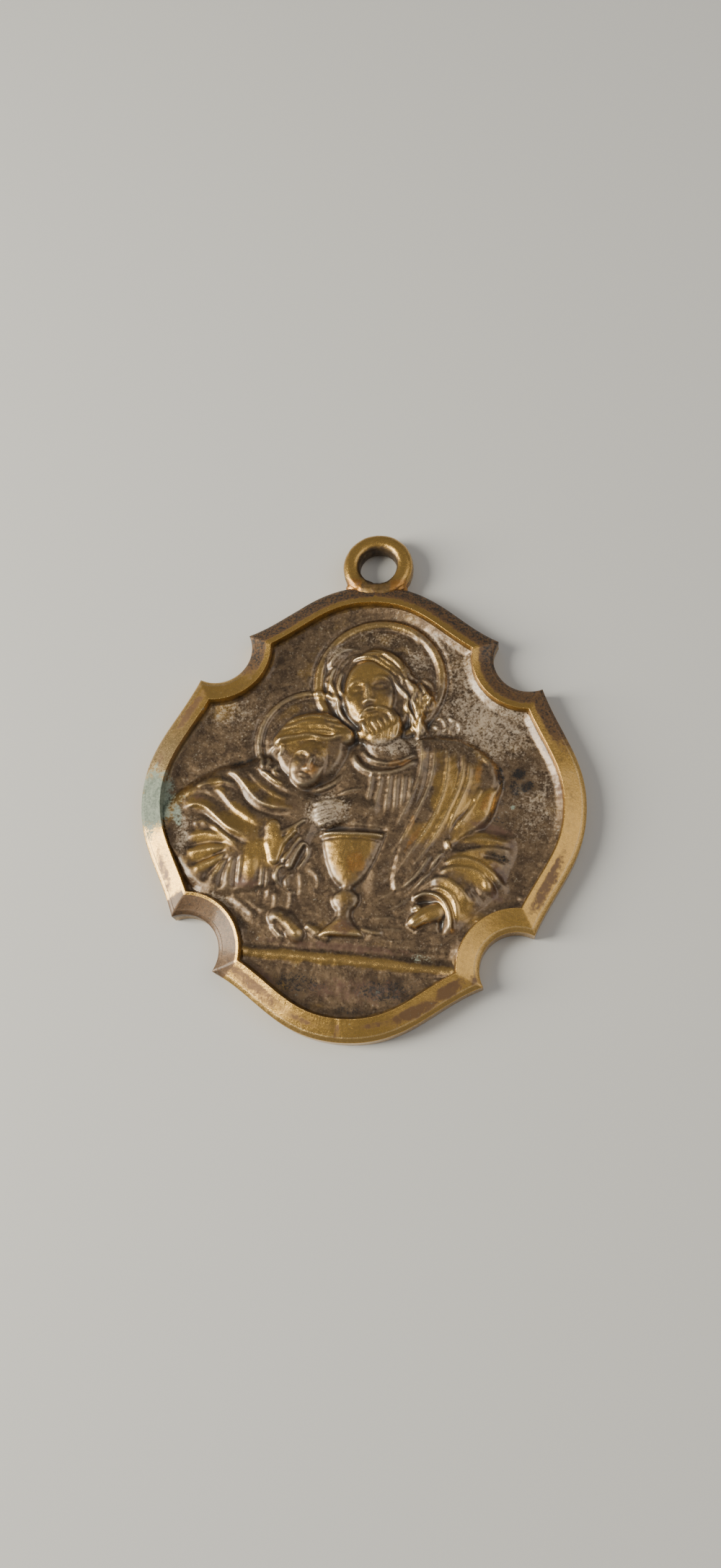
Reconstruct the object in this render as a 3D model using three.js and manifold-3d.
import * as THREE from "three";
import { mergeVertices } from "three/addons/utils/BufferGeometryUtils.js";
import Module from "manifold-3d";

// A struck brass devotional medal. The back lies on z = 0 with the body's centre at the origin,
// +Z points out of the face and +Y towards the hanging loop. Millimetres.

// Body
const width = 32;
const bodyHeight = 34;
const notchDepth = 1.77;
const backRound = 0.15;

// Rim, measured from the outer edge inwards
const rimBand = 1.45;
const rimHeight = 2.05;
const outerEdgeHeight = 1.55;
const edgeRound = 0.14;
const innerWallRun = 0.4;
const wallDrop = 0.3;

// Field and relief
const fieldHeight = 1.2;
const reliefRise = 1.05;
const ledgeHalfWidth = 0.4;

// Hanging loop
const loopOuterRadius = 2.65;
const loopHoleRadius = 1.41;
const loopThickness = 1.7;
const loopFloat = 0.15;
const loopRound = 0.4;
const loopSink = 0.93;

// How finely the round stretches are divided
const topLobeSteps = 10;
const notchSteps = 7;
const sideLobeSteps = 9;
const reliefCell = 0.46;
const chaliceSteps = 24;
const loopSteps = 40;
const loopCornerSteps = 3;

// The eight tips of the outline, and the pull of the curves between them, as shares of half the
// width and half the body's height. The other tips mirror these two.
const tips = {
  top: { x: 0.585, y: 0.7465 },
  side: { x: 0.7925, y: 0.531 },
};
const pulls = {
  topCrown: { x: 0.2825, y: 0 },
  topTip: { x: -0.212, y: 0.0885 },
  sideTip: { x: 0.081, y: -0.203 },
  sideCrown: { x: 0, y: 0.222 },
};

// The relief is laid out on a grid of 32 steps across the width and 34 along the body's height.
const across = width / 32;
const along = bodyHeight / 34;

// How a layer runs out into what is round it: a lump over a share of its half size, a disc or a
// broad mass over a width in steps. A ridge fades in and out over a share of its length.
const lumpBlend = 0.42;
const massBlend = 0.3;
const ridgeFade = 0.15;

// Two halo discs: centre and radius in steps, dish and edge as shares of the relief's rise.
const haloEdgeHalf = 0.5;
const halos = [
  { x: -4.0, y: 4.5, radius: 3.95, dish: 0.14, edge: 0.16 },
  { x: 0.8, y: 9.4, radius: 4.85, dish: 0.17, edge: 0.18 },
];

// Broad masses as outlines with a rounded edge, back to front. Base and bulge are shares of the
// relief's rise, round is in steps.
const masses = [
  {
    name: "cloak of the bearded figure",
    base: 0.18, bulge: 0.32, round: 2.2,
    outline: [
      [0.2, 4.4], [3.6, 4.9], [6.8, 5.2], [9.0, 3.9], [10.2, 1.7], [9.8, -0.4], [8.6, -2.2],
      [10.9, -2.7], [11.2, -4.4], [10.0, -6.4], [7.6, -7.4], [4.4, -7.6], [1.6, -7.0],
      [0.2, -3.5], [-1.6, -1.6], [-2.2, 0.6], [-1.0, 2.6],
    ],
  },
  {
    name: "cloak of the leaning figure",
    base: 0.18, bulge: 0.34, round: 1.9,
    outline: [
      [-7.6, 2.6], [-10.4, 2.0], [-12.6, 0.4], [-12.8, -2.6], [-11.9, -5.2], [-10.6, -6.8],
      [-7.0, -6.6], [-4.9, -5.2], [-3.6, -3.4], [-3.0, -1.0], [-4.4, 0.4], [-5.6, 2.0],
    ],
  },
];

// Rounded lumps: centre and half sizes in steps, turn in degrees, base and bulge as shares.
const lumps = [
  { name: "hair of the bearded figure", x: 1.6, y: 8.4, rx: 3.0, ry: 3.6, turn: 14, base: 0.3, bulge: 0.34 },
  { name: "face of the bearded figure", x: 0.2, y: 8.5, rx: 2.1, ry: 3.2, turn: 12, base: 0.42, bulge: 0.5 },
  { name: "beard", x: 1.5, y: 5.6, rx: 1.7, ry: 1.9, turn: 10, base: 0.36, bulge: 0.44 },
  { name: "hair of the leaning figure", x: -3.7, y: 4.9, rx: 3.0, ry: 2.1, turn: -8, base: 0.3, bulge: 0.4 },
  { name: "face of the leaning figure", x: -3.9, y: 2.9, rx: 1.7, ry: 2.2, turn: -16, base: 0.36, bulge: 0.42 },
  { name: "curls at the neck", x: -6.2, y: 2.9, rx: 1.1, ry: 1.9, turn: -10, base: 0.28, bulge: 0.3 },
  { name: "curls on the shoulder", x: 5.9, y: 5.8, rx: 1.3, ry: 1.0, turn: 0, base: 0.36, bulge: 0.26 },
  { name: "blessing hand", x: -2.0, y: -0.6, rx: 1.6, ry: 1.1, turn: 14, base: 0.4, bulge: 0.36 },
  { name: "folded hands", x: -4.6, y: -3.3, rx: 1.1, ry: 1.9, turn: -24, base: 0.36, bulge: 0.36 },
  { name: "hand at the cuff", x: 5.0, y: -7.8, rx: 1.1, ry: 1.0, turn: -30, base: 0.34, bulge: 0.36 },
  { name: "large loaf", x: -4.4, y: -9.1, rx: 1.3, ry: 1.0, turn: -40, base: 0.14, bulge: 0.36 },
  { name: "small loaf", x: -2.2, y: -9.6, rx: 0.8, ry: 0.5, turn: -30, base: 0.12, bulge: 0.26 },
];

// The chalice, a turned cup flattened against the field: half widths up its axis in steps, with
// the height of its axis and its bulge at the rim as shares of the relief's rise.
const chalice = {
  x: -0.45, base: 0.3, bulge: 0.55,
  profile: [
    { y: -9.7, half: 1.9 },
    { y: -9.2, half: 1.5 },
    { y: -8.4, half: 0.6 },
    { y: -7.5, half: 0.45 },
    { y: -7.05, half: 0.85 },
    { y: -6.6, half: 0.5 },
    { y: -6.0, half: 0.95 },
    { y: -4.5, half: 1.7 },
    { y: -2.9, half: 2.2 },
    { y: -2.4, half: 2.3 },
  ],
};

// Ridges of cloth and the locks of hair: half width in steps and rise as a share.
const ridges = [
  { half: 0.42, rise: 0.16, path: [[4.3, 5], [4.5, 3], [4.2, 0.5], [3, -2], [2, -3.5]] },
  { half: 0.4, rise: 0.16, path: [[6.2, 4.6], [6.2, 2], [5.5, -0.5], [4, -3.5], [1.5, -6.5]] },
  { half: 0.45, rise: 0.16, path: [[7.1, 4.5], [7.3, 2], [6.5, 0], [5.8, -1.7], [4, -4.5], [2, -6.5]] },
  { half: 0.5, rise: 0.14, path: [[8.3, 3.6], [9.3, 1.6], [9.0, -0.4], [8, -2]] },
  { half: 0.4, rise: 0.16, path: [[6.4, -2.5], [7, -2.9], [9, -2.4], [11, -2.9]] },
  { half: 0.45, rise: 0.18, path: [[6.3, -4.2], [8, -3.7], [9.5, -4.4], [10.5, -5.5]] },
  { half: 0.4, rise: 0.16, path: [[5.4, -5.5], [7.2, -5.2], [8.9, -5.6], [9.8, -6.4]] },
  { half: 0.4, rise: 0.2, path: [[4, -6.9], [5.3, -6.6], [6.2, -7.1], [6.8, -7.9], [6.9, -9]] },
  { half: 0.45, rise: 0.2, path: [[-10, 1.8], [-8.5, 0.9], [-7, -0.6], [-5.8, -0.7], [-4, -0.8]] },
  { half: 0.4, rise: 0.16, path: [[-12, 0.7], [-10.7, 0.5], [-9.7, -0.2], [-8.6, -1.2], [-6.6, -2.2]] },
  { half: 0.42, rise: 0.18, path: [[-12.6, -1.1], [-11, -1], [-10, -1.7], [-8.6, -2.7], [-6.6, -4]] },
  { half: 0.45, rise: 0.16, path: [[-12, -3.4], [-10.5, -3], [-9.5, -3.5]] },
  { half: 0.45, rise: 0.16, path: [[-11.6, -5.2], [-10, -4.6], [-9, -4.1]] },
  { half: 0.42, rise: 0.16, path: [[-9.6, -6.5], [-9, -5], [-8.6, -4]] },
  { half: 0.42, rise: 0.16, path: [[-7.3, -6.4], [-7.1, -5], [-6.9, -4]] },
  { half: 0.35, rise: 0.14, path: [[-0.7, 3.8], [0.3, 2.4], [2.5, 2.3], [4, 3.0]] },
  { half: 0.3, rise: 0.12, path: [[1.8, 2.1], [1.5, 0.6], [1.1, -1]] },
  { half: 0.3, rise: 0.12, path: [[2.9, 2.1], [2.6, 0.4], [2.1, -1.4]] },
  { half: 0.4, rise: 0.16, path: [[0.5, 10.9], [2, 9.4], [3.1, 7.8], [3.7, 6.2], [4.8, 4.9]] },
  { half: 0.35, rise: 0.14, path: [[-2.4, 11], [-2.3, 8.2], [-1.2, 6], [0.3, 4.3]] },
  { half: 0.4, rise: 0.14, path: [[-6, 4.4], [-4.3, 5.2], [-1.6, 4.6]] },
];

// The front edge of the table, from one wall of the rim to the other, and the floor behind it.
const ledge = { rise: 0.34, path: [[-7.6, -11.2], [0, -11.5], [7.6, -11.9]] };
const tableTop = { rise: 0.1, front: -11.4, back: -9.2 };

function smoothStep(value) {
  const t = Math.min(1, Math.max(0, value));
  return t * t * (3 - 2 * t);
}

function mix(a, b, share) {
  return a + (b - a) * share;
}

// A smooth line through the points of a table row, in millimetres.
function lineThrough(path, closed = false) {
  const points = path.map(([x, y]) => new THREE.Vector2(x * across, y * along));
  if (closed) {
    points.push(points[0].clone());
  }
  return new THREE.SplineCurve(points).getPoints(points.length * 4);
}

// The nearest place on a line: its distance and its share of the line's length.
function nearestOn(line, x, y) {
  let distance = Infinity;
  let share = 0;
  for (let i = 0; i < line.length - 1; i += 1) {
    const dx = line[i + 1].x - line[i].x;
    const dy = line[i + 1].y - line[i].y;
    const length2 = dx * dx + dy * dy || 1;
    const t = Math.min(1, Math.max(0, ((x - line[i].x) * dx + (y - line[i].y) * dy) / length2));
    const d = Math.hypot(x - line[i].x - t * dx, y - line[i].y - t * dy);
    if (d < distance) {
      distance = d;
      share = (i + t) / (line.length - 1);
    }
  }
  return { distance, share };
}

function isInside(line, x, y) {
  let inside = false;
  for (let i = 0; i < line.length - 1; i += 1) {
    const a = line[i];
    const b = line[i + 1];
    if ((a.y > y) !== (b.y > y) && x < ((b.x - a.x) * (y - a.y)) / (b.y - a.y) + a.x) {
      inside = !inside;
    }
  }
  return inside;
}

// Each layer takes a place and the height so far, and gives the new height above the field.
function haloLayer({ x: u, y: v, radius, dish, edge }) {
  const step = Math.min(across, along);
  return (x, y, height) => {
    const depth = radius - Math.hypot(x - u * across, y - v * along) / step;
    const ring = Math.max(0, 1 - Math.abs(depth - haloEdgeHalf) / haloEdgeHalf);
    return mix(height, dish + edge * ring, smoothStep(depth / massBlend));
  };
}

function massLayer({ outline, base, bulge, round }) {
  const line = lineThrough(outline, true);
  const step = Math.min(across, along);
  return (x, y, height) => {
    if (!isInside(line, x, y)) {
      return height;
    }
    const depth = nearestOn(line, x, y).distance / step;
    const slope = 1 - Math.min(1, depth / round);
    const top = base + bulge * Math.sqrt(1 - slope ** 2);
    return mix(height, top, smoothStep(depth / massBlend));
  };
}

function lumpLayer({ x: u, y: v, rx, ry, turn, base, bulge }) {
  const angle = THREE.MathUtils.degToRad(turn);
  return (x, y, height) => {
    const dx = x / across - u;
    const dy = y / along - v;
    const p = (dx * Math.cos(angle) + dy * Math.sin(angle)) / rx;
    const q = (dy * Math.cos(angle) - dx * Math.sin(angle)) / ry;
    const r = Math.hypot(p, q);
    if (r >= 1) {
      return height;
    }
    const top = base + bulge * Math.sqrt(1 - r * r);
    return mix(height, Math.max(height, top), smoothStep((1 - r) / lumpBlend));
  };
}

function ridgeLayer({ path, half, rise }) {
  const line = lineThrough(path);
  const reach = half * Math.min(across, along);
  return (x, y, height) => {
    const { distance, share } = nearestOn(line, x, y);
    if (distance >= reach) {
      return height;
    }
    const ends = smoothStep(share / ridgeFade) * smoothStep((1 - share) / ridgeFade);
    return height + rise * ends * Math.cos((distance / reach) * (Math.PI / 2)) ** 2;
  };
}

function tableLayer({ rise, front, back }) {
  return (x, y, height) => {
    const v = y / along;
    return v < front || v > back ? height : Math.max(height, rise);
  };
}

function ledgeLayer({ path, rise }) {
  const line = lineThrough(path);
  return (x, y, height) => {
    const share = nearestOn(line, x, y).distance / ledgeHalfWidth;
    return share >= 1 ? height : Math.max(height, rise * Math.sqrt(1 - share * share));
  };
}

const layers = [
  tableLayer(tableTop),
  haloLayer(halos[0]),
  haloLayer(halos[1]),
  ...masses.map(massLayer),
  ...lumps.map(lumpLayer),
  ...ridges.map(ridgeLayer),
  ledgeLayer(ledge),
];

function reliefAt(x, y) {
  return reliefRise * layers.reduce((height, layer) => layer(x, y, height), 0);
}

// One quarter of the outline: half the top lobe, a round notch and half the side lobe.
const halfWidth = width / 2;
const halfHeight = bodyHeight / 2;

function spot({ x, y }) {
  return new THREE.Vector2(x * halfWidth, y * halfHeight);
}

const topTip = spot(tips.top);
const sideTip = spot(tips.side);
const crown = new THREE.Vector2(0, halfHeight);
const flank = new THREE.Vector2(halfWidth, 0);
const topLobe = new THREE.CubicBezierCurve(
  crown,
  crown.clone().add(spot(pulls.topCrown)),
  topTip.clone().add(spot(pulls.topTip)),
  topTip,
);
const sideLobe = new THREE.CubicBezierCurve(
  sideTip,
  sideTip.clone().add(spot(pulls.sideTip)),
  flank.clone().add(spot(pulls.sideCrown)),
  flank,
);

// The notch is an arc through both tips that bulges towards the middle of the body.
const chord = sideTip.clone().sub(topTip);
const outward = new THREE.Vector2(-chord.y, chord.x).normalize();
const notchRadius = (chord.lengthSq() / 4 + notchDepth ** 2) / (2 * notchDepth);
const notchCentre = topTip.clone().add(sideTip).multiplyScalar(0.5)
  .addScaledVector(outward, notchRadius - notchDepth);

function insetPoint(curve, share, inset) {
  const tangent = curve.getTangent(share);
  return curve.getPoint(share).add(new THREE.Vector2(tangent.y, -tangent.x).multiplyScalar(inset));
}

// Where a lobe, moved inwards, meets the notch moved inwards: the mitre under a tip.
function mitreShare(curve, tipShare, inset) {
  let clear = 1 - tipShare;
  let cut = tipShare;
  for (let i = 0; i < 40; i += 1) {
    const middle = (clear + cut) / 2;
    const outside = insetPoint(curve, middle, inset).distanceTo(notchCentre) > notchRadius + inset;
    if (outside) {
      clear = middle;
    } else {
      cut = middle;
    }
  }
  return clear;
}

// The outline moved inwards by the same distance everywhere, with the same number of points
// whatever the distance, counted clockwise from the top.
function outlineRing(inset) {
  const quarter = [];
  const topEnd = mitreShare(topLobe, 1, inset);
  for (let i = 0; i < topLobeSteps; i += 1) {
    quarter.push(insetPoint(topLobe, (topEnd * i) / topLobeSteps, inset));
  }
  const sideStart = mitreShare(sideLobe, 0, inset);
  const from = insetPoint(topLobe, topEnd, inset).sub(notchCentre);
  const to = insetPoint(sideLobe, sideStart, inset).sub(notchCentre);
  const sweep = Math.atan2(from.x * to.y - from.y * to.x, from.dot(to));
  for (let i = 0; i < notchSteps; i += 1) {
    const ray = from.clone().rotateAround(new THREE.Vector2(), (sweep * i) / notchSteps);
    quarter.push(ray.add(notchCentre));
  }
  for (let i = 0; i <= sideLobeSteps; i += 1) {
    quarter.push(insetPoint(sideLobe, mix(sideStart, 1, i / sideLobeSteps), inset));
  }
  const right = [...quarter, ...quarter.slice(0, -1).reverse().map((p) => ({ x: p.x, y: -p.y }))];
  const left = right.slice(1, -1).reverse().map((p) => ({ x: -p.x, y: p.y }));
  return [...right, ...left];
}

// The rim's section from the back edge over the band and down the inner wall, which runs on
// below the field's level so that the field meets it in one clean line.
const wallRunOn = (innerWallRun * wallDrop) / (rimHeight - fieldHeight);
const rimSection = [
  { inset: backRound, height: 0 },
  { inset: 0, height: backRound },
  { inset: 0, height: outerEdgeHeight - edgeRound },
  { inset: edgeRound * 0.3, height: outerEdgeHeight },
  { inset: edgeRound * 1.4, height: outerEdgeHeight + edgeRound },
  { inset: rimBand * 0.55, height: mix(outerEdgeHeight + edgeRound, rimHeight, 0.72) },
  { inset: rimBand * 0.9, height: rimHeight },
  { inset: rimBand, height: rimHeight - edgeRound * 0.5 },
  { inset: rimBand + innerWallRun + wallRunOn, height: fieldHeight - wallDrop },
];

// The plate: rings of points stitched from the back edge over the rim to a flat floor.
function buildPlate() {
  const rings = rimSection.map(({ inset, height }) => (
    outlineRing(inset).map((p) => [p.x, p.y, height])
  ));
  const around = rings[0].length;
  const backHub = rings.length * around;
  const floorHub = backHub + 1;
  const positions = [...rings.flat(2), 0, along, 0, 0, along, fieldHeight - wallDrop];
  const index = [];
  for (let i = 0; i < around; i += 1) {
    const next = (i + 1) % around;
    index.push(backHub, i, next);
    for (let k = 0; k < rings.length - 1; k += 1) {
      const a = k * around + i;
      const b = k * around + next;
      index.push(a, a + around, b, b, a + around, b + around);
    }
    const last = (rings.length - 1) * around;
    index.push(last + i, floorHub, last + next);
  }
  const geometry = new THREE.BufferGeometry();
  geometry.setAttribute("position", new THREE.Float32BufferAttribute(positions, 3));
  geometry.setIndex(index);
  return geometry;
}

// The field with its relief: a block whose top follows the relief, and the prism that trims it
// half way under the inner wall.
function buildField() {
  const depth = fieldHeight / 2;
  const columns = Math.round(width / reliefCell);
  const rows = Math.round(bodyHeight / reliefCell);
  const block = new THREE.BoxGeometry(width, bodyHeight, depth, columns, rows, 1);
  const spots = block.attributes.position;
  for (let i = 0; i < spots.count; i += 1) {
    const top = spots.getZ(i) > 0;
    const z = top ? fieldHeight + reliefAt(spots.getX(i), spots.getY(i)) : fieldHeight - depth;
    spots.setZ(i, z);
  }
  return block;
}

function buildFieldPrism() {
  const edge = outlineRing(rimBand + innerWallRun / 2).map((p) => new THREE.Vector2(p.x, p.y));
  return new THREE.ExtrudeGeometry(new THREE.Shape(edge), {
    depth: fieldHeight + 2 * reliefRise,
    bevelEnabled: false,
  });
}

function buildChalice() {
  const { x, base, bulge, profile } = chalice;
  const points = profile.map(({ y, half }) => new THREE.Vector2(half * across, y * along));
  points.unshift(new THREE.Vector2(0, points[0].y));
  points.push(new THREE.Vector2(0, points[points.length - 1].y));
  const widest = Math.max(...points.map((point) => point.x));
  const cup = new THREE.LatheGeometry(points, chaliceSteps);
  cup.scale(1, 1, (bulge * reliefRise) / widest);
  cup.translate(x * across, 0, fieldHeight + base * reliefRise);
  return cup;
}

// The loop: a ring with rounded corners and flat faces, its hole along Z.
function buildLoop() {
  const low = loopFloat + loopRound;
  const high = loopFloat + loopThickness - loopRound;
  const inner = loopHoleRadius + loopRound;
  const outer = loopOuterRadius - loopRound;
  const corners = [
    { r: outer, z: low, start: -90 },
    { r: outer, z: high, start: 0 },
    { r: inner, z: high, start: 90 },
    { r: inner, z: low, start: 180 },
  ];
  const profile = corners.flatMap(({ r, z, start }) => (
    Array.from({ length: loopCornerSteps + 1 }, (_, i) => {
      const angle = THREE.MathUtils.degToRad(start + (90 * i) / loopCornerSteps);
      return new THREE.Vector2(r + loopRound * Math.cos(angle), z + loopRound * Math.sin(angle));
    })
  ));
  profile.push(profile[0].clone());
  const ring = new THREE.LatheGeometry(profile, loopSteps);
  ring.rotateX(Math.PI / 2);
  ring.translate(0, halfHeight - loopSink + loopOuterRadius, 0);
  return ring;
}

const wasm = await Module();
wasm.setup();

function toSolid(geometry) {
  const bare = geometry.clone();
  bare.deleteAttribute("normal");
  bare.deleteAttribute("uv");
  const merged = mergeVertices(bare, 1e-5);
  return new wasm.Manifold(new wasm.Mesh({
    numProp: 3,
    vertProperties: new Float32Array(merged.attributes.position.array),
    triVerts: new Uint32Array(merged.index.array),
  }));
}

function toGeometry(solid) {
  const mesh = solid.getMesh();
  const geometry = new THREE.BufferGeometry();
  geometry.setAttribute("position", new THREE.BufferAttribute(mesh.vertProperties, 3));
  geometry.setIndex(new THREE.BufferAttribute(mesh.triVerts, 1));
  geometry.computeVertexNormals();
  return geometry;
}

const agedBrass = new THREE.MeshStandardMaterial({
  color: 0x8c6a3a,
  roughness: 0.42,
  metalness: 1,
  flatShading: true,
});

const field = toSolid(buildField()).intersect(toSolid(buildFieldPrism()));
const metal = toSolid(buildPlate())
  .add(field)
  .add(toSolid(buildChalice()))
  .add(toSolid(buildLoop()));
const medal = new THREE.Mesh(toGeometry(metal), agedBrass);
medal.name = "medal";

const pendant = new THREE.Group();
pendant.add(medal);

export default pendant;
